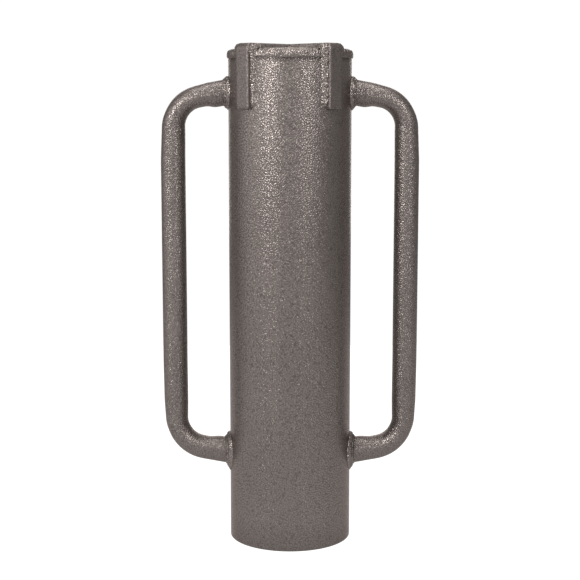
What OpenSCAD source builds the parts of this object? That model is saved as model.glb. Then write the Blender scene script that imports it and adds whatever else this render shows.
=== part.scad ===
// Post driver: a heavy steel tube, open at the bottom, that is lifted by two side handles and
// dropped over the head of a timber post. A cap plate closes its top and takes the blow. Two
// crossed flat-bar straps run over the cap and down the barrel, and every joint is welded.
// Millimetres. The origin is the centre of the open bottom end, +Z runs up the barrel, the
// handles lie along X and the front is -Y.

/* [Barrel] */
// Outside diameter of the barrel tube
barrel_od = 150; // [130:1:180]
// Wall thickness of the barrel tube
barrel_wall = 5; // [4:0.5:8]
// Length of the barrel tube, without the cap
barrel_length = 595; // [500:5:800]
// Chamfer on both edges of the open end
rim_chamfer = 0.8; // [0.2:0.1:1.5]

/* [Cap] */
// Thickness of the cap plate
cap_thickness = 10; // [8:1:16]
// How far the cap's edge is stepped in from the outside of the barrel, as a land for the weld
cap_setback = 2; // [1:0.5:3]

/* [Straps] */
// Width of the flat bar
strap_width = 20; // [16:1:30]
// Thickness of the flat bar
strap_thickness = 6; // [5:0.5:8]
// How far the legs reach down from the top of the cap
strap_leg = 71; // [50:1:90]
// Outside radius of the bend between a strap's top and its leg
strap_bend = 6.5; // [5:0.5:10]
// Angle between the two front legs, seen from above
strap_angle = 86.3; // [80:0.1:100]
// How far the crossed straps are turned clockwise from square with the handles
strap_turn = 1.25; // [0:0.05:5]

/* [Handles] */
// Outside diameter of the handle tube
handle_od = 30; // [26:0.5:34]
// Wall thickness of the handle tube
handle_wall = 2.5; // [2:0.5:4]
// Distance from the barrel's axis to the centreline of a grip
grip_reach = 143.2; // [130:0.1:170]
// Centreline radius of a handle's bends
handle_bend = 37; // [30:1:45]
// Slope of a handle's arms, which spread apart towards the barrel
arm_slope = 10.5; // [0:0.5:20]
// Height at which the lower arms' centreline meets the barrel
lower_arm_height = 107.3; // [80:0.1:150]
// Height at which the upper arms' centreline meets the barrel
upper_arm_height = 554.8; // [400:0.1:560]

/* [Welds] */
// Size of the fillet bead down each side of a strap leg
leg_bead = 5.5; // [3:0.5:6]
// Size of the bead that returns over the cap's edge beside a strap
return_bead = 4.5; // [3:0.5:5]
// How far that return runs in from the barrel's side
return_run = 16; // [8:1:24]
// How far the cap's bead stands proud of the barrel
cap_bead_proud = 1.6; // [0.5:0.1:2.5]
// How far the cap's bead laps down over the barrel, below the joint
cap_bead_lap = 2.4; // [1:0.1:6]
// Width of the bead around a handle arm, measured on the barrel
collar_width = 7.5; // [5:0.5:10]
// Radius of the small fillets in the corners where the straps cross
crossing_bead = 6; // [4:0.5:8]

/* [Hidden] */

$fn = 96;
paint = [0.44, 0.41, 0.39];
weld_paint = [0.50, 0.46, 0.44];

barrel_r = barrel_od / 2;
bore_r = barrel_r - barrel_wall;
cap_r = barrel_r - cap_setback;
cap_top = barrel_length + cap_thickness;
strap_top = cap_top + strap_thickness;
strap_reach = barrel_r + strap_thickness;
leg_foot = cap_top - strap_leg;
handle_r = handle_od / 2;
bend_x = grip_reach - handle_bend;

// The crossing welds stop this far below the straps' top faces
crossing_height = strap_thickness - 1.5;
// A leg's beads stop this far above its foot and run this far past the cap's top edge
bead_stop = 2.5;

// Directions of the four strap legs, seen from above and counted from +X
front_left = 270 - strap_angle / 2 - strap_turn;
front_right = 270 + strap_angle / 2 - strap_turn;
back_right = front_left - 180;
back_left = front_right - 180;

// Height from the point where an arm meets the barrel to the centre of its bend
arm_start = bend_x + handle_bend * sin(arm_slope);
bend_drop = handle_bend * cos(arm_slope) + (arm_start - barrel_r) * tan(arm_slope);
lower_bend_z = lower_arm_height + bend_drop;
upper_bend_z = upper_arm_height - bend_drop;

// The bends are a hair fatter than the straight lengths, which start a hair inside them, so
// that their surfaces cross and don't graze each other
bend_swell = 0.1;
bend_lap = 0.2;

// Everything inside the barrel's outer surface, up to a height. Straps, handles and welds are
// cut to it, so that they meet the barrel face to face
module barrel_core(height = cap_top) {
    translate([0, 0, -1]) cylinder(r = barrel_r, h = height + 1);
}

module barrel() {
    color(paint) rotate_extrude()
        polygon([[bore_r + rim_chamfer, 0], [barrel_r - rim_chamfer, 0], [barrel_r, rim_chamfer],
            [barrel_r, barrel_length], [bore_r, barrel_length], [bore_r, rim_chamfer]]);
}

module end_cap() {
    color(paint) translate([0, 0, barrel_length]) cylinder(r = cap_r, h = cap_thickness);
}

// Outline of a strap seen from its side, from its middle out to its leg
module strap_side() {
    bend_s = strap_reach - strap_bend;
    bend_z = strap_top - strap_bend;
    translate([0, leg_foot]) square([bend_s, strap_top - leg_foot]);
    translate([0, leg_foot]) square([strap_reach, bend_z - leg_foot]);
    translate([bend_s, bend_z]) circle(strap_bend);
}

// Strap from the middle of the cap to the leg on one side, before it is cut to the barrel
module strap_blank(direction) {
    rotate([0, 0, direction]) rotate([90, 0, 0])
        linear_extrude(height = strap_width, center = true) strap_side();
}

module through_blank() {
    strap_blank(front_left);
    strap_blank(back_right);
}

// The strap that runs right across the cap
module strap_through() {
    color(paint) difference() {
        through_blank();
        barrel_core();
    }
}

// Half of the other strap, butted against the side of the one that runs through
module strap_half(direction) {
    color(paint) difference() {
        strap_blank(direction);
        rotate([0, 0, front_left]) translate([-barrel_r, -strap_width / 2, 0])
            cube([barrel_od, strap_width, strap_top + 1]);
        barrel_core();
    }
}

module strap_front_right() { strap_half(front_right); }

module strap_back_left() { strap_half(back_left); }

// Small fillets on the cap, in the four corners between the straps
module crossing_welds() {
    color(weld_paint) difference() {
        for (i = [0:3]) {
            corner_angle = i % 2 == 0 ? strap_angle : 180 - strap_angle;
            rotate([0, 0, 270 - strap_turn + 90 * i])
                translate([strap_width / 2 / sin(corner_angle / 2), 0, cap_top])
                    cylinder(r = crossing_bead, h = crossing_height);
        }
        through_blank();
        strap_blank(front_right);
        strap_blank(back_left);
    }
}

// Section of a fillet bead against a strap's side (y = 0), standing on a surface (x = 0)
module bead_section(size, root) {
    polygon(concat([[-root, 0]], [for (a = [0:15:90]) size * [cos(a), sin(a)]], [[-root, size]]));
}

// Bead down one side of a strap leg, with its return over the cap's edge. The side is 1 for the
// counter-clockwise side of the leg, seen from above, and -1 for the other
module leg_weld(direction, side) {
    edge = strap_width / 2;
    root_s = sqrt(pow(barrel_r, 2) - pow(edge, 2));
    foot = leg_foot + bead_stop;
    color(weld_paint) difference() {
        rotate([0, 0, direction]) mirror([0, side > 0 ? 0 : 1, 0]) {
            translate([root_s, edge, foot])
                linear_extrude(height = cap_top + bead_stop - foot)
                    bead_section(leg_bead, barrel_wall);
            translate([barrel_r + bead_stop, edge, cap_top]) rotate([0, -90, 0])
                linear_extrude(height = return_run) bead_section(return_bead, 0);
        }
        barrel_core(barrel_length);
        end_cap();
    }
}

module leg_weld_front_left_inner() { leg_weld(front_left, 1); }

module leg_weld_front_left_outer() { leg_weld(front_left, -1); }

module leg_weld_front_right_inner() { leg_weld(front_right, -1); }

module leg_weld_front_right_outer() { leg_weld(front_right, 1); }

module leg_weld_back_right_inner() { leg_weld(back_right, 1); }

module leg_weld_back_right_outer() { leg_weld(back_right, -1); }

module leg_weld_back_left_inner() { leg_weld(back_left, -1); }

module leg_weld_back_left_outer() { leg_weld(back_left, 1); }

// Bead around the cap's edge, from the weld of one strap leg to the weld of the next
module cap_weld(from, to) {
    bead_r = barrel_r + cap_bead_proud;
    leg_zone = strap_width + 2 * leg_bead;
    color(weld_paint) difference() {
        rotate([0, 0, from]) rotate_extrude(angle = to - from)
            polygon([[cap_r, barrel_length], [barrel_r, barrel_length],
                [barrel_r, barrel_length - cap_bead_lap], [bead_r, barrel_length],
                [bead_r, cap_top - cap_bead_proud * 2], [barrel_r, cap_top - cap_bead_proud / 2],
                [cap_r, cap_top]]);
        for (direction = [from, to]) rotate([0, 0, direction])
            translate([0, -leg_zone / 2, leg_foot]) cube([strap_reach, leg_zone, strap_leg + 1]);
    }
}

module cap_weld_front() { cap_weld(front_left, front_right); }

module cap_weld_right() { cap_weld(front_right, back_right + 360); }

module cap_weld_back() { cap_weld(back_right, back_left); }

module cap_weld_left() { cap_weld(back_left, front_left); }

// Round bar along the right handle's centreline. Its arms run on into the barrel
module handle_run(r) {
    translate([grip_reach, 0, lower_bend_z - bend_lap])
        cylinder(r = r, h = upper_bend_z - lower_bend_z + 2 * bend_lap);
    for (up = [1, -1]) translate([bend_x, 0, up > 0 ? upper_bend_z : lower_bend_z]) {
        rotate([up * 90, 0, 0]) rotate_extrude(angle = 90 - arm_slope)
            translate([handle_bend, 0]) circle(r + bend_swell);
        rotate([0, up * arm_slope - 90, 0]) translate([up * handle_bend, 0, -bend_lap])
            cylinder(r = r, h = (arm_start - bore_r) / cos(arm_slope));
    }
}

module handle_right() {
    color(paint) difference() {
        handle_run(handle_r);
        handle_run(handle_r - handle_wall);
        barrel_core();
    }
}

module handle_left() { mirror([1, 0, 0]) handle_right(); }

// Bead around the foot of a right handle arm. The fall is the angle at which the arm drops
// towards the grip
module handle_weld(height, fall) {
    color(weld_paint) difference() {
        translate([barrel_r, 0, height]) rotate([0, 90 + fall, 0]) rotate_extrude()
            polygon([[handle_r, -collar_width], [handle_r + collar_width, -collar_width],
                [handle_r + collar_width, 0], [handle_r + collar_width * 0.75, collar_width * 0.5],
                [handle_r + collar_width * 0.35, collar_width * 0.85], [handle_r, collar_width]]);
        barrel_core();
    }
}

module handle_weld_right_upper() { handle_weld(upper_arm_height, arm_slope); }

module handle_weld_right_lower() { handle_weld(lower_arm_height, -arm_slope); }

module handle_weld_left_upper() { mirror([1, 0, 0]) handle_weld_right_upper(); }

module handle_weld_left_lower() { mirror([1, 0, 0]) handle_weld_right_lower(); }

barrel();
end_cap();
strap_through();
strap_front_right();
strap_back_left();
crossing_welds();
cap_weld_front();
cap_weld_right();
cap_weld_back();
cap_weld_left();
leg_weld_front_left_inner();
leg_weld_front_left_outer();
leg_weld_front_right_inner();
leg_weld_front_right_outer();
leg_weld_back_right_inner();
leg_weld_back_right_outer();
leg_weld_back_left_inner();
leg_weld_back_left_outer();
handle_left();
handle_right();
handle_weld_left_upper();
handle_weld_left_lower();
handle_weld_right_upper();
handle_weld_right_lower();
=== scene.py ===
import math

import bpy
import numpy as np
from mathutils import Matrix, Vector, noise


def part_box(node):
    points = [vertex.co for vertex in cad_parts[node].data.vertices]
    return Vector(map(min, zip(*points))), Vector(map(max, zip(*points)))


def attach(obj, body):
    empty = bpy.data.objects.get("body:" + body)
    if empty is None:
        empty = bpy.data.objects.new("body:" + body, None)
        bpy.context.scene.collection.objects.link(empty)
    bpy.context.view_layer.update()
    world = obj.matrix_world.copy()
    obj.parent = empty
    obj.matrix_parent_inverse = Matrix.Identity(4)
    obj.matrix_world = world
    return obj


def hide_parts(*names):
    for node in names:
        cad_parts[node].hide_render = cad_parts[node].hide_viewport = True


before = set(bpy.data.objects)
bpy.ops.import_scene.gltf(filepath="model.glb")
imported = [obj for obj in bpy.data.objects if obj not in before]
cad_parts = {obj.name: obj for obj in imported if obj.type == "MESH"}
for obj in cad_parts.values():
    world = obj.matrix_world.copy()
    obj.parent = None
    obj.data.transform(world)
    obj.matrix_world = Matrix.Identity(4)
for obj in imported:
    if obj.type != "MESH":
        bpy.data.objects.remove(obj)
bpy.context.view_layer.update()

# The post driver's visual pieces. Shapes are worked out in millimetres, in the CAD's own frame,
# and go into Blender in metres.
MM = 0.001


def span(node):
    """Lowest and highest corner of a CAD node, in millimetres."""
    return [np.array(corner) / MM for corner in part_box(node)]


# Sizes that a CAD node's box shows are read from it
BARREL_R, BARREL_TOP = span("barrel")[1][0], span("barrel")[1][2]
CAP_R, CAP_TOP = span("end_cap")[1][0], span("end_cap")[1][2]
STRAP_FOOT, STRAP_TOP = span("strap_through")[0][2], span("strap_through")[1][2]
HANDLE_OUT = span("handle_right")[1][0]

# The others are the ones that the CAD parts are built to. Legs are at angles in degrees
BARREL_WALL = 5.0
BORE_R = BARREL_R - BARREL_WALL
STRAP_W, STRAP_T, STRAP_BEND = 20.0, STRAP_TOP - CAP_TOP, 6.5
STRAP_REACH = BARREL_R + STRAP_T
STRAP_FLAT = STRAP_REACH - STRAP_BEND
LEG_FRONT_LEFT, LEG_FRONT_RIGHT = 225.6, 311.9
LEG_BACK_RIGHT, LEG_BACK_LEFT = LEG_FRONT_LEFT - 180, LEG_FRONT_RIGHT - 180
TUBE_R, BEND_R, ARM_SLOPE = 15.0, 37.0, math.radians(10.5)
GRIP_X = HANDLE_OUT - TUBE_R
LOWER_ARM_Z, UPPER_ARM_Z = 107.3, 554.8
UP = np.array((0, 0, 1.0))


# ---------------------------------------------------------------- mesh helpers

def lumps(points, size, seed):
    """Smooth noise, about -1 to 1, at points in millimetres. Size is the width of a lump."""
    shift = Vector((seed * 13.7, seed * 7.3, seed * 3.1))
    flat = points.reshape(-1, 3)
    out = [noise.fractal(Vector(p) / size + shift, 1.0, 2.0, 2) for p in flat]
    return np.array(out).reshape(points.shape[:-1])


def normals_of(grid, wrap_u=False):
    """Unit normals of a grid of points, from the slopes along and across it."""
    if wrap_u:
        along = np.roll(grid, -1, 0) - np.roll(grid, 1, 0)
    else:
        along = np.gradient(grid, axis=0)
    n = np.cross(along, np.gradient(grid, axis=1))
    return n / np.maximum(np.linalg.norm(n, axis=-1, keepdims=True), 1e-9)


def grid_faces(nu, nv, wrap_u=False, wrap_v=False):
    """Quads over a grid of nu by nv points."""
    faces = []
    for a in range(nu if wrap_u else nu - 1):
        for c in range(nv if wrap_v else nv - 1):
            b, d = (a + 1) % nu, (c + 1) % nv
            faces.append([a * nv + c, b * nv + c, b * nv + d, a * nv + d])
    return faces


def swept(rings):
    """Points and faces of a solid made of closed rings, with both ends closed."""
    nu, nv = rings.shape[:2]
    faces = grid_faces(nu, nv, wrap_v=True)
    faces.append(list(range(nv)))
    faces.append(list(range((nu - 1) * nv, nu * nv))[::-1])
    return rings.reshape(-1, 3), faces


def join(parts):
    """One list of points and faces from several."""
    points, faces, start = [], [], 0
    for p, f in parts:
        points.append(p)
        faces += [[i + start for i in face] for face in f]
        start += len(p)
    return np.concatenate(points), faces


def volume_of(points, faces):
    """Signed volume of a closed mesh. It is negative where the faces point inwards."""
    total = 0.0
    for face in faces:
        a = points[face[0]]
        for b, c in zip(face[1:-1], face[2:]):
            total += np.dot(a, np.cross(points[b], points[c]))
    return total / 6


def piece(name, shape, material, node, sharp=50, wear_and_light=None):
    """A Blender object from points in millimetres. It rides on the body and stands for its node.
    Its last argument has one value for each point. Above 0 the paint is lighter: rubbed thin at
    the barrel's foot, and a painted highlight on the straps' sides. Below 0 it is darker: a painted
    shade in the crease under the cap's bead, and a darker outer lip at the barrel's foot."""
    points, faces = shape
    mesh = bpy.data.meshes.new(name)
    mesh.from_pydata((points * MM).tolist(), [], faces)
    mesh.validate()
    if volume_of(points, faces) < 0:
        mesh.flip_normals()
    mesh.shade_smooth()
    mesh.set_sharp_from_angle(angle=math.radians(sharp))
    wear_and_painted_light = mesh.attributes.new("wear_and_painted_light", "FLOAT", "POINT")
    wear_and_painted_light.data.foreach_set("value", np.zeros(len(points)) if wear_and_light is None else wear_and_light)
    obj = bpy.data.objects.new(name, mesh)
    bpy.context.scene.collection.objects.link(obj)
    mesh.materials.append(material)
    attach(obj, "root")
    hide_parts(node)


def arc(centre, radius, start, end, steps):
    """Points on an arc, as (across, up) pairs."""
    angles = np.radians(np.linspace(start, end, steps))
    return [(centre[0] + radius * math.cos(a), centre[1] + radius * math.sin(a)) for a in angles]


def lathe(profile, steps):
    """A solid of revolution. A profile that starts and ends on the axis gets a point there."""
    angles = np.linspace(0, 2 * math.pi, steps, endpoint=False)
    on_axis = profile[0][0] == 0
    rim = profile[1:-1] if on_axis else profile
    grid = np.array([[(r * math.cos(a), r * math.sin(a), z) for a in angles] for r, z in rim])
    points = grid.reshape(-1, 3)
    faces = grid_faces(len(rim), steps, wrap_u=not on_axis, wrap_v=True)
    if on_axis:
        first, last = len(points), len(points) + 1
        points = np.vstack([points, (0, 0, profile[0][1]), (0, 0, profile[-1][1])])
        top = (len(rim) - 1) * steps
        for v in range(steps):
            w = (v + 1) % steps
            faces.append([first, v, w])
            faces.append([last, top + w, top + v])
    return points, faces


# ------------------------------------------------------------------- materials

ISLAND, VEIN = (0.176, 0.151, 0.140), (0.090, 0.075, 0.069)
# The next two colours lighten the paint, where it is rubbed thin and as a painted highlight, and
# darken it, as a painted shade in a crease and on a darker lip
RUBBED_AND_LIT, DARKENED_PAINT = (0.30, 0.265, 0.25), (0.035, 0.029, 0.026)
EDGE_TINT = (0.57, 0.49, 0.46, 1)


def hammered(name, cell, relief, rough, tone=1.0, speckle=1.0):
    """Hammered metallic enamel: small domed islands parted by narrow sunken veins. Cell is the
    islands' spacing and relief their height, both in millimetres. Tone scales the colours, and
    speckle how much the metal flakes show."""
    mat = bpy.data.materials.new(name)
    mat.use_nodes = True
    nodes, links = mat.node_tree.nodes, mat.node_tree.links
    nodes.clear()

    def add(kind, **values):
        node = nodes.new(kind)
        for key, value in values.items():
            setattr(node, key, value)
        return node

    def feed(socket, value):
        if isinstance(value, bpy.types.NodeSocket):
            links.new(value, socket)
        else:
            socket.default_value = (*value, 1) if isinstance(value, tuple) else value

    def compute(operation, a, b, clamp=False):
        node = add("ShaderNodeMath", operation=operation, use_clamp=clamp)
        feed(node.inputs[0], a)
        feed(node.inputs[1], b)
        return node.outputs[0]

    def noise_at(size, detail=1.0, roughness=0.5):
        """Noise whose features are about as wide as size, in millimetres."""
        node = add("ShaderNodeTexNoise")
        links.new(place.outputs["Object"], node.inputs["Vector"])
        node.inputs["Scale"].default_value = 1000 / size
        node.inputs["Detail"].default_value = detail
        node.inputs["Roughness"].default_value = roughness
        return node

    def ramp(value, *stops, smooth=False):
        node = add("ShaderNodeValToRGB")
        if smooth:
            node.color_ramp.interpolation = "EASE"
        elements = node.color_ramp.elements
        while len(elements) < len(stops):
            elements.new(0.5)
        for element, (at, shade) in zip(elements, stops):
            element.position = at
            element.color = (*(shade if isinstance(shade, tuple) else (shade,) * 3), 1)
        links.new(value, node.inputs["Fac"])
        return node.outputs["Color"]

    def mix(factor, a, b, blend="MIX"):
        node = add("ShaderNodeMix", data_type="RGBA", blend_type=blend)
        inputs = [i for i in node.inputs if i.enabled]
        for socket, value in zip(inputs, (factor, a, b)):
            feed(socket, value)
        return [o for o in node.outputs if o.enabled][0]

    def toned(shade):
        return tuple(v * tone for v in shade)

    place = add("ShaderNodeTexCoord")
    # The islands are pulled about a little, so that their veins look poured
    wander = noise_at(cell * 1.4)
    pulled = add("ShaderNodeVectorMath", operation="MULTIPLY_ADD")
    links.new(wander.outputs["Color"], pulled.inputs[0])
    pulled.inputs[1].default_value = (cell * 0.0011,) * 3
    links.new(place.outputs["Object"], pulled.inputs[2])
    cells = add("ShaderNodeTexVoronoi", feature="DISTANCE_TO_EDGE")
    links.new(pulled.outputs[0], cells.inputs["Vector"])
    cells.inputs["Scale"].default_value = 1000 / cell
    cells.inputs["Randomness"].default_value = 0.9
    depth = cells.outputs["Distance"]
    flakes, cloud, peel = noise_at(0.45), noise_at(90, 3.0), noise_at(1.3, 2.0)

    colour = ramp(depth, (0.0, toned(VEIN)), (0.13, toned(ISLAND)), smooth=True)
    low, high = 1 - 0.16 * speckle, 1 + 0.16 * speckle
    colour = mix(1.0, colour, ramp(flakes.outputs["Fac"], (0.33, low), (0.67, high)), "MULTIPLY")
    colour = mix(1.0, colour, ramp(cloud.outputs["Fac"], (0.3, 0.95), (0.7, 1.05)), "MULTIPLY")
    # Above 0 the attribute lightens the paint in patches: wear where it is rubbed thin at the
    # barrel's foot, and a painted highlight on the straps' sides. Below 0 it darkens it: a painted
    # shade in the crease under the cap's bead, and a darker lip at the barrel's foot
    wear_and_painted_light = add("ShaderNodeAttribute", attribute_name="wear_and_painted_light")
    blotches = ramp(noise_at(2.4, 3.0, 0.6).outputs["Fac"], (0.42, 0.0), (0.62, 1.0))
    rubbed_and_lit = compute("MULTIPLY", wear_and_painted_light.outputs["Fac"], blotches, clamp=True)
    darkening = compute("MULTIPLY", wear_and_painted_light.outputs["Fac"], -1, clamp=True)
    colour = mix(rubbed_and_lit, colour, toned(RUBBED_AND_LIT))
    colour = mix(darkening, colour, DARKENED_PAINT)

    finish = ramp(depth, (0.0, rough + 0.14), (0.15, rough))
    patchy = ramp(cloud.outputs["Fac"], (0.3, rough - 0.05), (0.7, rough + 0.07))
    finish = mix(0.35, finish, patchy)

    dome = ramp(depth, (0.0, 0.0), (0.10, 0.52), (0.22, 0.85), (0.42, 1.0))
    height = compute("ADD", dome, compute("MULTIPLY", peel.outputs["Fac"], 0.5 * speckle))
    bump = add("ShaderNodeBump")
    bump.inputs["Strength"].default_value = 1.0
    bump.inputs["Distance"].default_value = relief * MM
    links.new(height, bump.inputs["Height"])

    paint = add("ShaderNodeBsdfPrincipled")
    links.new(colour, paint.inputs["Base Color"])
    links.new(finish, paint.inputs["Roughness"])
    links.new(bump.outputs["Normal"], paint.inputs["Normal"])
    paint.inputs["Metallic"].default_value = 0.8
    # Paint over metal flake darkens at grazing angles, where bare metal would turn bright
    paint.inputs["Specular Tint"].default_value = EDGE_TINT
    paint.inputs["Coat Weight"].default_value = 0.15
    paint.inputs["Coat Roughness"].default_value = 0.2
    links.new(bump.outputs["Normal"], paint.inputs["Coat Normal"])
    out = add("ShaderNodeOutputMaterial")
    links.new(paint.outputs["BSDF"], out.inputs["Surface"])
    return mat


barrel_paint = hammered("barrel_paint", cell=2.8, relief=0.17, rough=0.25)
cap_paint = hammered("cap_paint", cell=2.9, relief=0.16, rough=0.30)
strap_paint = hammered("strap_paint", cell=2.8, relief=0.15, rough=0.35, tone=0.93, speckle=1.6)
handle_paint = hammered("handle_paint", cell=2.7, relief=0.21, rough=0.26)
# The beads are in the same enamel; this copy is lighter, a painted sheen where they catch the light
weld_paint = hammered("weld_paint", cell=2.7, relief=0.15, rough=0.24, tone=1.12, speckle=1.2)


# --------------------------------------------------------------- barrel and cap

RIM_R, TOP_EDGE_R = 0.8, 0.4


def barrel_shape():
    """The tube, with its rounded rim, as a closed profile turned about the axis."""
    body = np.linspace(36, BARREL_TOP - 35, 12)
    crease = BARREL_TOP - np.array((6.5, 4.5, 3, 1.5))
    profile = arc((BORE_R + RIM_R, RIM_R), RIM_R, 180, 270, 5)
    profile += arc((BARREL_R - RIM_R, RIM_R), RIM_R, 270, 360, 5)
    profile += [(BARREL_R, z) for z in (*body, *crease)]
    profile += arc((BARREL_R - TOP_EDGE_R, BARREL_TOP - TOP_EDGE_R), TOP_EDGE_R, 0, 90, 4)
    profile += [(BORE_R, BARREL_TOP)]
    profile += [(BORE_R, z) for z in body[::-1]]
    return lathe(profile, 288)


def barrel_wear_and_shade(points):
    """Paint is rubbed thin inside the foot's rim. The foot's outer lip is a little darker, and the
    crease under the bead around the cap gets a darker painted shade."""
    height = points[:, 2]
    outside = np.linalg.norm(points[:, :2], axis=1) > BARREL_R - 0.9
    at_foot = np.clip(1 - height / 1.6, 0, 1) * np.where(outside, -0.45, 0.6)
    # A painted shade in the crease under the cap's bead, darkest from 2 mm below the top
    return at_foot - 0.75 * outside * np.clip((height - BARREL_TOP + 6) / 4, 0, 1)


def cap_shape():
    """The cap plate, with its top edge chamfered."""
    profile = [(0, BARREL_TOP), (25, BARREL_TOP), (50, BARREL_TOP), (CAP_R, BARREL_TOP)]
    profile += [(CAP_R - inset, CAP_TOP - drop)
                for inset, drop in ((0, 2.2), (0, 1.4), (0.1, 1.2), (1.2, 0.1), (1.4, 0))]
    profile += [(50, CAP_TOP), (25, CAP_TOP), (0, CAP_TOP)]
    return lathe(profile, 192)


barrel = barrel_shape()
piece("barrel_tube", barrel, barrel_paint, "barrel", wear_and_light=barrel_wear_and_shade(barrel[0]))
piece("cap_plate", cap_shape(), cap_paint, "end_cap")


# ---------------------------------------------------------------------- straps

STRAP_EDGE_R, FOOT_R = 1.8, 1.2


def strap_section():
    """A bar's section as (across, depth below the outer face, 1 where it is the inner face)."""
    half = STRAP_W / 2
    flat = half - STRAP_EDGE_R
    left = [(-flat - x, STRAP_EDGE_R - d, 0) for x, d in arc((0, 0), STRAP_EDGE_R, 0, 90, 6)]
    right = [(-x, d, f) for x, d, f in left[::-1]]
    across = [(x, 0, 0) for x in np.linspace(-flat, flat, 9)[1:-1]]
    inner = [(x, 0, 1) for x in np.linspace(half, -half, 9)]
    return left + across + right + inner


def leg_stations():
    """Outer face of a leg from its foot to the top, as (reach, height, turn, inset). The turn is
    0 on the barrel and a quarter turn on the cap, and the inset rounds the foot."""
    top = STRAP_TOP - STRAP_BEND
    out = [(STRAP_REACH, STRAP_FOOT + FOOT_R * (1 - math.sin(a)), 0.0, FOOT_R * (1 - math.cos(a)))
           for a in np.radians([90, 60, 30, 0])]
    out += [(STRAP_REACH, z, 0.0, 0.0) for z in np.linspace(STRAP_FOOT + FOOT_R, top, 22)[1:-1]]
    out += [(STRAP_FLAT + STRAP_BEND * math.cos(t), top + STRAP_BEND * math.sin(t), t, 0.0)
            for t in np.radians(np.linspace(0, 90, 13))]
    return out


def strap_ring(station, direction, reach_at=None):
    """One ring of a strap. Reach_at gives the reach on the flat top for each place across."""
    reach, height, turn, inset = station
    along = np.array((math.cos(direction), math.sin(direction), 0))
    side = np.array((-along[1], along[0], 0))
    ring = []
    for x, depth, inner in strap_section():
        x = math.copysign(max(abs(x) - inset, 0), x)
        if reach_at is not None:
            s = reach_at(x)
            z = CAP_TOP if inner else STRAP_TOP - depth
        elif inner:
            # The inner face lies on the barrel, then draws in under the bend to meet the cap
            wall = math.sqrt(BARREL_R ** 2 - x ** 2) - 0.05
            k = turn / (math.pi / 2)
            s = wall + (STRAP_FLAT - 0.6 - wall) * k
            bend_z = STRAP_TOP - STRAP_BEND
            z = bend_z + (CAP_TOP - bend_z) * min(1, 2 * k) if turn else height
        else:
            s = reach - (depth + inset) * math.cos(turn)
            z = height - (depth + inset) * math.sin(turn)
        ring.append(along * s + side * x + UP * z)
    return ring


def strap_leg(direction):
    """The rings of a leg, from its foot to the end of its bend."""
    return [strap_ring(station, direction) for station in leg_stations()]


def flat_ring(direction, reach_at):
    """A ring of the part that lies on the cap."""
    return strap_ring((0, 0, 1, 0), direction, reach_at)


def mirror_order():
    """Where each point of a section lands when the section is seen from the other end."""
    section = strap_section()

    def apart(a, b):
        return abs(a[0] + b[0]) + abs(a[1] - b[1]) + 99 * abs(a[2] - b[2])
    return [min(range(len(section)), key=lambda i: apart(section[i], spot)) for spot in section]


def strap_through():
    """The strap that runs right across, from its front foot to its back one."""
    d = math.radians(LEG_FRONT_LEFT)
    rings = strap_leg(d)
    for s in np.linspace(STRAP_FLAT, -STRAP_FLAT, 42)[1:-1]:
        rings.append(flat_ring(d, lambda x, s=s: s))
    # The far leg is the near one turned half round, so its rings run backwards
    far = [np.array(ring) * (-1, -1, 1) for ring in strap_leg(d)][::-1]
    order = mirror_order()
    rings += [ring[order] for ring in far]
    return swept(np.array(rings))


def strap_half(direction):
    """Half of the other strap, from its foot to where it butts against the one that runs across."""
    d = math.radians(direction)
    axis = math.radians(LEG_FRONT_LEFT)
    across = (-math.sin(axis), math.cos(axis))
    lean = math.cos(d) * across[0] + math.sin(d) * across[1]
    slide = -math.sin(d) * across[0] + math.cos(d) * across[1]
    sign = math.copysign(1, lean)

    def butt(x):
        return (sign * STRAP_W / 2 - x * slide) / lean
    rings = strap_leg(d)
    for k in np.linspace(0, 1, 22)[1:]:
        rings.append(flat_ring(d, lambda x, k=k: STRAP_FLAT + (butt(x) - STRAP_FLAT) * k))
    return swept(np.array(rings))


def strap_side_highlight(points):
    """The sides of the part that lies on the cap are lightened in patches, a painted highlight."""
    on_cap = np.linalg.norm(points[:, :2], axis=1) < BARREL_R - 4
    return 2.5 * (on_cap & (points[:, 2] < STRAP_TOP - 0.3))


for which, strap in (("through", strap_through()), ("front_right", strap_half(LEG_FRONT_RIGHT)),
                     ("back_left", strap_half(LEG_BACK_LEFT))):
    piece(f"strap_bar_{which}", strap, strap_paint, f"strap_{which}", sharp=35,
          wear_and_light=strap_side_highlight(strap[0]))


# ----------------------------------------------------------------------- welds

# How far out the cap's bead may stand, so that it stays inside its CAD solid, the widths of a
# weld's lumps and crumbs, and the pitch of its ripples
BEAD_R = BARREL_R + 1.57
LUMP, CRUMB, PITCH = 5.5, 2.2, 3.2


def across_bead(face):
    """Places across a bead, from -1 at one toe to 1 at the other, and a factor that fades to
    nothing at the toes, so that they stay on the parts."""
    v = np.linspace(-1, 1, face.shape[1])[None, :]
    return v, 1 - np.abs(v) ** 6


def roughen(face, run, seed, coarse, ripple, keep=1.0):
    """Adds a weld's lumps and ripples to the seen face of a bead. The run is the distance along
    the bead in millimetres, one value for each row of the grid."""
    v, fade = across_bead(face)
    lag = run[:, None] + 1.1 * v ** 2 + 0.9 * lumps(face, 5.0, seed + 3)
    wave = np.abs(np.sin(math.pi * lag / PITCH)) - 0.6
    amount = coarse * lumps(face, LUMP, seed) + 0.5 * lumps(face, CRUMB, seed + 1) + ripple * wave
    return face + normals_of(face) * (amount * fade * keep)[..., None]


def turned(section, angles):
    """A (reach, height) section set up at each angle around the barrel."""
    return np.array([[(r * math.cos(a), r * math.sin(a), z) for r, z in section] for a in angles])


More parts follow.
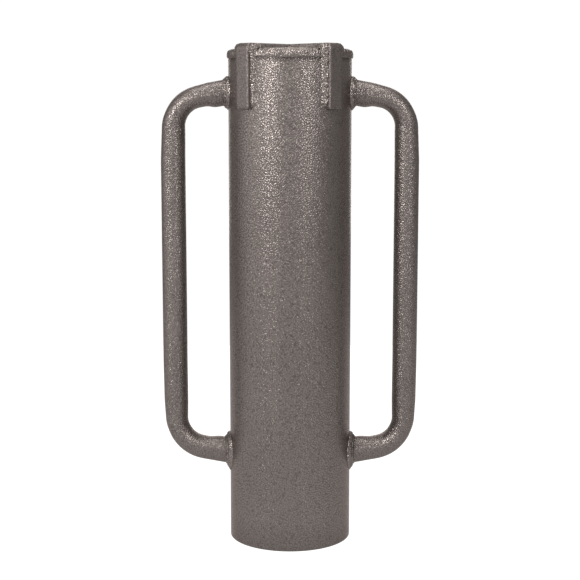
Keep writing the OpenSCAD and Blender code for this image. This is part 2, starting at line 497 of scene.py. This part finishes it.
def cap_bead(start, end, seed):
    """The bead around the cap's edge between two legs."""
    edge = math.degrees(math.asin(10.5 / BARREL_R))
    angles = np.radians(np.arange(start + edge, end - edge, 0.36))
    # From the toe on the cap, over the crown, to the toe on the barrel. Both sections are measured
    # from the barrel's top outer edge
    seen = np.array([(-2.7, 7.6), (-2.0, 8.2), (-1.2, 8.4), (-0.5, 8.2), (0.1, 7.6), (0.6, 6.8),
                     (0.9, 5.7), (1.2, 4.4), (1.4, 3.0), (1.45, 1.6), (1.2, 0.4), (0.6, -0.5),
                     (-0.2, -1.1)]) + (BARREL_R, BARREL_TOP)
    hidden = np.array([(-0.8, -1.0), (-1.8, 4.0), (-3.0, 6.8)]) + (BARREL_R, BARREL_TOP)
    places, even = np.linspace(0, 1, len(seen)), np.linspace(0, 1, 30)
    seen = np.array([np.interp(even, places, seen[:, i]) for i in (0, 1)]).T
    run = (angles - angles[0]) * BARREL_R
    face = roughen(turned(seen, angles), run, seed, coarse=0.8, ripple=0.42)
    reach = np.linalg.norm(face[..., :2], axis=-1)
    face[..., :2] *= (np.minimum(reach, BEAD_R) / reach)[..., None]
    return swept(np.concatenate([face, turned(hidden, angles)], axis=1))


def leg_bead(direction, side, seed, climb):
    """The bead down one side of a leg, round the cap's edge and in along the strap. Climb is how
    far it runs up the strap's side."""
    d = math.radians(direction)
    along = np.array((math.cos(d), math.sin(d), 0))
    cross = np.array((-math.sin(d), math.cos(d), 0)) * side
    edge = STRAP_W / 2
    wall = math.sqrt(BARREL_R ** 2 - edge ** 2)
    turn_r = 2.0
    # Its root runs up the barrel, round the cap's edge and in along the cap: reach, height, turn
    path = [(wall, z, 0.0) for z in np.arange(STRAP_FOOT + 2.5, CAP_TOP - turn_r, 0.5)]
    path += [(wall - turn_r + turn_r * math.cos(a), CAP_TOP - turn_r + turn_r * math.sin(a), a)
             for a in np.linspace(0, math.pi / 2, 14)]
    path += [(s, CAP_TOP, math.pi / 2) for s in np.arange(wall - turn_r - 0.5, wall - 16, -0.5)]
    path = np.array(path)
    steps = np.linalg.norm(np.diff(path[:, :2], axis=0), axis=1)
    run = np.concatenate([[0], np.cumsum(steps)])
    # It is built up at the cap's edge, ends in a drop at the leg's foot, and tapers at both ends
    corner = np.exp(-((run - 69) / np.where(run < 69, 8, 16)) ** 2)
    blob = np.exp(-((run - 5) / 3.5) ** 2)
    taper = np.clip(run / 5, 0, 1) ** 0.5 * np.clip((run[-1] - run) / 6, 0, 1) ** 0.5
    t = np.linspace(0, 1, 18)
    rows, roots = [], []
    for (s, z, turn), big, thin, drop in zip(path, corner, taper, blob):
        out = along * math.cos(turn) + UP * math.sin(turn)
        root = along * s + cross * edge + UP * z
        # The toe on the strap, and the toe on the barrel or the cap
        rise = (climb + (5.7 - climb) * big) * (0.5 + 0.5 * thin)
        spread = (6.6 + 1.8 * big) * (0.6 + 0.4 * thin)
        toe_strap = root + out * rise - cross * 0.25
        down = math.sqrt(BARREL_R ** 2 - (edge + spread) ** 2) - wall
        toe_wall = root + cross * spread + along * down * math.cos(turn) - out * 0.3
        chord = toe_strap[None, :] * (1 - t[:, None]) + toe_wall[None, :] * t[:, None]
        lean = out * spread + cross * rise
        lean /= np.linalg.norm(lean)
        swell = (1.25 + 0.7 * big + 0.9 * drop) * thin * np.sin(math.pi * t) ** 0.8
        rows.append(chord + lean[None, :] * swell[:, None])
        roots.append([root - out * 0.8 - cross * 0.4])
    keep = (1 + 0.7 * corner) * (0.5 + 0.5 * taper)
    face = roughen(np.array(rows), run, seed, coarse=0.75, ripple=0.4, keep=keep[:, None])
    face[..., 2] = np.minimum(face[..., 2], STRAP_TOP - 0.5)
    return swept(np.concatenate([face, np.array(roots)], axis=1))


def collar(side, height, fall, seed):
    """The bead around the foot of a handle arm. Side is 1 for the right, and the fall is the
    angle at which the arm drops away from the barrel."""
    axis = np.array((side * math.cos(fall), 0, -math.sin(fall)))
    upright = np.array((side * math.sin(fall), 0, math.cos(fall)))
    level = np.array((0, 1.0, 0))
    centre = np.array((side * BARREL_R, 0, height))
    upper = fall > 0

    def on_barrel(radius, spin):
        """Where a line along the arm, this far from its centre, meets the barrel."""
        spot = centre + radius * (math.cos(spin) * upright + math.sin(spin) * level)
        a = axis[0] ** 2 + axis[1] ** 2
        b = spot[0] * axis[0] + spot[1] * axis[1]
        c = spot[0] ** 2 + spot[1] ** 2 - BARREL_R ** 2
        return spot + axis * ((-b + math.sqrt(b * b - a * c)) / a)

    spins = np.linspace(0, 2 * math.pi, 220, endpoint=False)
    swing = np.linspace(0, 1, 18)[:, None] * math.pi / 2
    rows, roots = [], []
    for spin in spins:
        ray = math.cos(spin) * upright + math.sin(spin) * level
        root = on_barrel(TUBE_R, spin)
        toe_tube = root + axis * 6.6 - ray * 0.4
        spread = 5.3 - 2.3 * math.cos(spin) if upper else 9.2 - 0.2 * math.cos(spin)
        toe_wall = on_barrel(TUBE_R + spread, spin) - axis * 0.3
        # A quarter turn between the toes, full above the arm and almost straight below it
        full, slack = (0.95, 0.85) if upper else (1.2, 0.5)
        power = full + slack * max(0, -math.cos(spin)) ** 2
        rows.append(root + (toe_tube - root) * np.cos(swing) ** power
                    + (toe_wall - root) * np.sin(swing) ** power)
        roots.append([root - axis * 0.6 - ray * 0.8])
    face = np.array(rows)
    normal = normals_of(face, wrap_u=True)
    v, fade = across_bead(face)
    # A whole number of ripples goes around, so that they meet where the bead closes
    whole = round(spins[-1] * (TUBE_R + 3.5) / 2.6)
    phase = spins[:, None] / 2 * whole + 1.2 * v ** 2 + 0.8 * lumps(face, 5.0, seed + 3)
    wave = np.abs(np.sin(phase)) - 0.6
    # The seam is a groove between two passes
    seam = np.exp(-((v + 0.25 + 0.15 * lumps(face, 9.0, seed + 6)) / 0.13) ** 2)
    bulk = 0.85 * lumps(face, 5.0, seed) + 0.5 * lumps(face, CRUMB, seed + 1)
    amount = bulk + 0.4 * wave - 0.8 * seam
    outward = np.sign(np.sum(normal * (face - centre), axis=-1).mean())
    face = face + normal * (outward * amount * fade)[..., None]
    grid = np.concatenate([face, np.array(roots)], axis=1)
    return grid.reshape(-1, 3), grid_faces(*grid.shape[:2], wrap_u=True, wrap_v=True)


def crossing_beads(seed):
    """The four small beads in the corners where the straps cross, as low domed lumps."""
    parts = []
    legs = [LEG_FRONT_LEFT, LEG_FRONT_RIGHT, LEG_BACK_RIGHT + 360, LEG_BACK_LEFT + 360]
    for i, (a, b) in enumerate(zip(legs, legs[1:] + [legs[0] + 360])):
        half = math.radians((b - a) / 2)
        mid = math.radians((a + b) / 2)
        out = np.array((math.cos(mid), math.sin(mid), 0))
        corner = out * (STRAP_W / 2 / math.sin(half)) + UP * CAP_TOP
        steps = np.linspace(0.05, 1, 18)
        rows = []
        for spin in np.linspace(-half, half, 26):
            ray = np.array((math.cos(mid + spin), math.sin(mid + spin), 0))
            rows.append([corner + ray * (7.2 * k) - out * 0.5 * (1 - k)
                         + UP * (4.3 * math.cos(k * math.pi / 2) ** 0.8 - 0.15) for k in steps])
        face = np.array(rows)
        rough = 0.4 * lumps(face, 3.5, seed + i) + 0.15 * lumps(face, 1.4, seed + i + 9)
        face[..., 2] += rough * np.sin(steps * math.pi)[None, :]
        face[..., 2] = np.minimum(face[..., 2], STRAP_TOP - 0.8)
        under = face.copy()
        under[..., 2] = CAP_TOP - 0.6
        parts.append(swept(np.concatenate([face, under[:, ::-1]], axis=1)))
    return join(parts)


def weld(name, shape, node):
    """A bead, in the weld's paint."""
    piece(name, shape, weld_paint, node)


# The legs that each part of the cap's bead runs between
arcs = {"front": (LEG_FRONT_LEFT, LEG_FRONT_RIGHT),
        "right": (LEG_FRONT_RIGHT, LEG_BACK_RIGHT + 360),
        "back": (LEG_BACK_RIGHT, LEG_BACK_LEFT),
        "left": (LEG_BACK_LEFT, LEG_FRONT_LEFT)}
for i, (where, (start, end)) in enumerate(arcs.items()):
    weld(f"cap_bead_{where}", cap_bead(start, end, 11 + 5 * i), f"cap_weld_{where}")
# Each leg, with the side of it that faces the front or the back
legs = {"front_left": (LEG_FRONT_LEFT, 1), "front_right": (LEG_FRONT_RIGHT, -1),
        "back_right": (LEG_BACK_RIGHT, 1), "back_left": (LEG_BACK_LEFT, -1)}
for i, (where, (direction, inner)) in enumerate(legs.items()):
    for j, (facing, side) in enumerate((("inner", inner), ("outer", -inner))):
        climb = 2.6 if side > 0 else 3.8
        weld(f"leg_bead_{where}_{facing}", leg_bead(direction, side, 41 + 7 * i + 3 * j, climb),
             f"leg_weld_{where}_{facing}")
for i, (where, side) in enumerate((("left", -1), ("right", 1))):
    for level, height, fall, seed in (("upper", UPPER_ARM_Z, ARM_SLOPE, 81),
                                      ("lower", LOWER_ARM_Z, -ARM_SLOPE, 91)):
        weld(f"arm_bead_{where}_{level}", collar(side, height, fall, seed + i),
             f"handle_weld_{where}_{level}")
weld("crossing_beads", crossing_beads(121), "crossing_welds")


# --------------------------------------------------------------------- handles

# How far the walls of a bent tube stand off a round one, as (distance along the run from the
# barrel, offset). A bender flattens the tube and leaves a small bulge ahead of the bend
UPPER_OUTER = ((0, 0), (24, 0), (43, -1.6), (73, -3.0), (88, -2.1), (130, -0.4))
UPPER_INNER = ((0, 0.6), (10, 1.1), (19, 1.2), (28, -2.2), (38, -2.2), (57, -0.9), (75, 0.1),
               (93, 0.8), (130, 0.5))
LOWER_OUTER = ((0, 1.2), (36, 1.3), (46, -0.3), (60, -2.1), (76, -3.3), (111, -1.1), (160, -0.4))
LOWER_INNER = ((0, 1.2), (16, 0.8), (28, -2.4), (36, -2.2), (52, -1.0), (70, 0.1), (111, 0.8),
               (160, 0.5))


def handle_path():
    """Centreline of the right handle from the lower arm to the upper one: points, directions,
    and distances from its two ends. The upper half mirrors the lower one."""
    bend_x = GRIP_X - BEND_R
    arm_end = bend_x + BEND_R * math.sin(ARM_SLOPE)
    drop = BEND_R * math.cos(ARM_SLOPE) + (arm_end - BARREL_R) * math.tan(ARM_SLOPE)
    arm = (arm_end - BARREL_R) / math.cos(ARM_SLOPE)
    bent = BEND_R * (math.pi / 2 - ARM_SLOPE)
    total = 2 * (arm + bent) + UPPER_ARM_Z - LOWER_ARM_Z - 2 * drop
    out = []
    for d in np.arange(0, total + 1e-6, total / 330):
        e = min(d, total - d)
        if e < arm:
            tangent = ARM_SLOPE
            x, z = BARREL_R + e * math.cos(tangent), e * math.sin(tangent)
        elif e < arm + bent:
            tangent = ARM_SLOPE + (e - arm) / BEND_R
            x, z = bend_x + BEND_R * math.sin(tangent), drop - BEND_R * math.cos(tangent)
        else:
            tangent = math.pi / 2
            x, z = GRIP_X, drop + e - arm - bent
        if d > total / 2:
            out.append((x, UPPER_ARM_Z - z, -math.cos(tangent), math.sin(tangent), d, total - d))
        else:
            out.append((x, LOWER_ARM_Z + z, math.cos(tangent), math.sin(tangent), d, total - d))
    return np.array(out)


def handle_shape(side):
    """A handle's outer skin, closed at its ends. Side is 1 for the right."""
    path = handle_path()
    low_d, high_d = path[:, 4], path[:, 5]

    def offsets(lower, upper):
        """Offsets along the whole handle, with their corners smoothed away."""
        below, above = np.interp(low_d, *zip(*lower)), np.interp(high_d, *zip(*upper))
        value = np.where(low_d < high_d, below, above)
        kernel = np.exp(-(np.arange(-6, 7) / 2.2) ** 2)
        padded = np.pad(value, 6, mode="edge")
        return np.convolve(padded, kernel / kernel.sum(), mode="valid")

    outer, inner = offsets(LOWER_OUTER, UPPER_OUTER), offsets(LOWER_INNER, UPPER_INNER)
    spins = np.linspace(0, 2 * math.pi, 64, endpoint=False)
    rings = []
    for (x, z, tx, tz, _, _), o, n in zip(path, outer, inner):
        away = np.array((tz, 0, -tx))
        # Where the tube is flattened it is also wider
        wide = TUBE_R + 0.38 * max(0, -(o + n))
        rings.append([np.array((x, wide * math.sin(spin), z))
                      + away * (TUBE_R + (o if math.cos(spin) > 0 else n)) * math.cos(spin)
                      for spin in spins])
    rings = np.array(rings)
    # Both ends are coped to the barrel: each point of the end rings slides along its arm
    for end, other in ((0, 1), (-1, -2)):
        step = rings[other] - rings[end]
        step /= np.linalg.norm(step, axis=1, keepdims=True)
        a = step[:, 0] ** 2 + step[:, 1] ** 2
        b = rings[end][:, 0] * step[:, 0] + rings[end][:, 1] * step[:, 1]
        c = rings[end][:, 0] ** 2 + rings[end][:, 1] ** 2 - (BARREL_R - 0.3) ** 2
        rings[end] += step * ((-b + np.sqrt(np.maximum(b * b - a * c, 0))) / a)[:, None]
    rings[..., 0] *= side
    return swept(rings)


for where, side in (("left", -1), ("right", 1)):
    piece(f"handle_tube_{where}", handle_shape(side), handle_paint,
          f"handle_{where}", sharp=60)


# ------------------------------------------------------------ floor, light, camera

WHITE = (1, 1, 1, 1)


def floor(size):
    """A plain white floor, not part of the object."""
    mesh = bpy.data.meshes.new("floor")
    h = size / 2
    mesh.from_pydata([(-h, -h, 0), (h, -h, 0), (h, h, 0), (-h, h, 0)], [], [(0, 1, 2, 3)])
    obj = bpy.data.objects.new("floor", mesh)
    bpy.context.scene.collection.objects.link(obj)
    mat = bpy.data.materials.new("floor")
    mat.use_nodes = True
    shader = mat.node_tree.nodes["Principled BSDF"]
    shader.inputs["Base Color"].default_value = (0.12, 0.12, 0.12, 1)
    shader.inputs["Roughness"].default_value = 0.9
    shader.inputs["Specular IOR Level"].default_value = 0.1
    shader.inputs["Emission Color"].default_value = WHITE
    # It looks plain white, at 1.02, and throws less than that, 0.76, back onto the tool
    path = mat.node_tree.nodes.new("ShaderNodeLightPath")
    glow = mat.node_tree.nodes.new("ShaderNodeMath")
    glow.operation = "MULTIPLY_ADD"
    glow.inputs[1].default_value, glow.inputs[2].default_value = 0.26, 0.76
    mat.node_tree.links.new(path.outputs["Is Camera Ray"], glow.inputs[0])
    mat.node_tree.links.new(glow.outputs[0], shader.inputs["Emission Strength"])
    mesh.materials.append(mat)


def softbox(name, place, target, size, power):
    """A soft rectangular light, which the camera doesn't see. Places and sizes are in metres."""
    light = bpy.data.lights.new(name, "AREA")
    light.shape = "RECTANGLE"
    light.size, light.size_y = size
    light.energy = power
    obj = bpy.data.objects.new(name, light)
    bpy.context.scene.collection.objects.link(obj)
    obj.location = place
    obj.rotation_euler = (Vector(target) - Vector(place)).to_track_quat("-Z", "Y").to_euler()
    obj.visible_camera = False


def surround(lit_strength, seen_strength):
    """The world's light, with one strength for the tool and another for the camera."""
    world = bpy.data.worlds.new("studio")
    bpy.context.scene.world = world
    world.use_nodes = True
    nodes, links = world.node_tree.nodes, world.node_tree.links
    nodes.clear()
    ray = nodes.new("ShaderNodeLightPath")
    blend = nodes.new("ShaderNodeMixShader")
    links.new(ray.outputs["Is Camera Ray"], blend.inputs["Fac"])
    for slot, strength in ((1, lit_strength), (2, seen_strength)):
        sky = nodes.new("ShaderNodeBackground")
        sky.inputs["Color"].default_value = WHITE
        sky.inputs["Strength"].default_value = strength
        links.new(sky.outputs[0], blend.inputs[slot])
    out = nodes.new("ShaderNodeOutputWorld")
    links.new(blend.outputs[0], out.inputs["Surface"])


floor(2.6)
softbox("key", (-1.05, -1.35, 1.15), (0, 0, 0.55), (0.3, 0.9), 25)
softbox("fill", (1.0, -1.4, 1.15), (0, 0, 0.55), (0.3, 0.9), 15)
softbox("left", (-2.3, -0.5, 0.9), (0, 0, 0.35), (1.8, 1.7), 11.5)
softbox("low", (0, -2.4, 0.5), (0, 0, 0.3), (3.0, 0.7), 5.5)
softbox("top", (0, -0.1, 2.6), (0, 0, 0), (1.6, 1.6), 35)
softbox("back", (0, 2.6, 0.9), (0, 0, 0.4), (2.2, 1.6), 20)
surround(0.39, 1.02)

camera = bpy.data.objects.new("camera", bpy.data.cameras.new("camera"))
bpy.context.scene.collection.objects.link(camera)
camera.location = (0, -1.6704, 0.5519)
camera.rotation_euler = (math.radians(81.8), 0, 0)
camera.data.lens = 84.5
camera.data.sensor_width = 36
camera.data.clip_start, camera.data.clip_end = 0.05, 60
bpy.context.scene.camera = camera
bpy.context.scene.view_settings.view_transform = "Standard"
